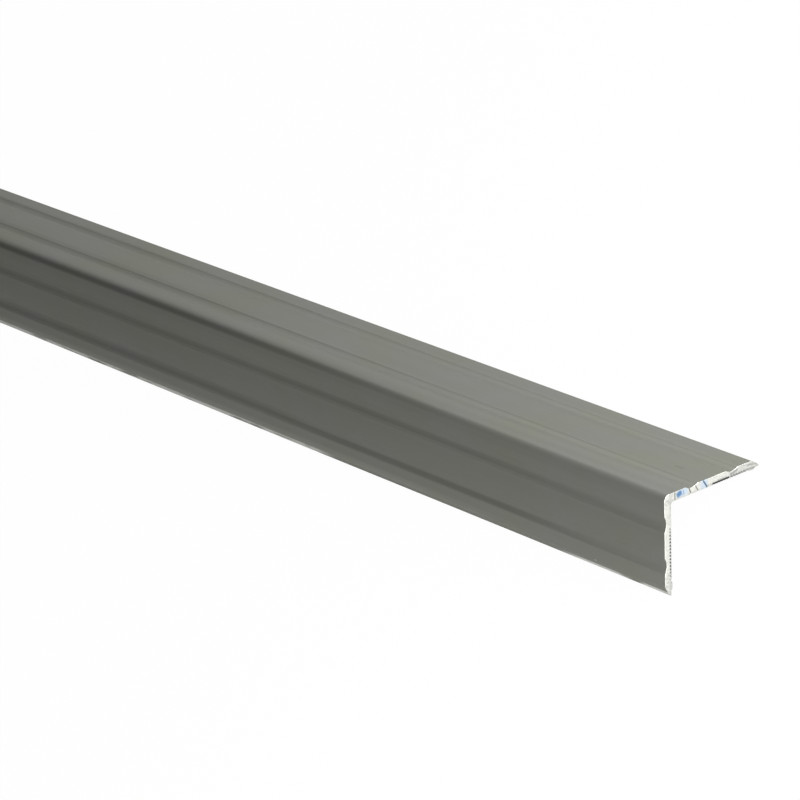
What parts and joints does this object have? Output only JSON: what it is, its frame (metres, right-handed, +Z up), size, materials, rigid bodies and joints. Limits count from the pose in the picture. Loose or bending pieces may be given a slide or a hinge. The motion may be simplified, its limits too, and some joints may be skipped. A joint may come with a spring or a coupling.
{
  "type": "aluminium corner angle",
  "caption": "Extruded aluminium corner angle with unequal legs, shallow decorative grooves outside, rolled toes and a serrated inside for glue.",
  "frame": {"origin": "centre of the bar's length and width, on the surface that it stands on", "axes": "+X along the bar, +Z up; the short leg slopes down towards -Y and the long leg towards +Y"},
  "size_m": [1, 0.0298, 0.016],
  "materials": {
    "anodised_aluminium": "matt anodised, warm grey"
  },
  "bodies": {
    "root": {"angle_section": "anodised_aluminium"}
  },
  "joints": []
}
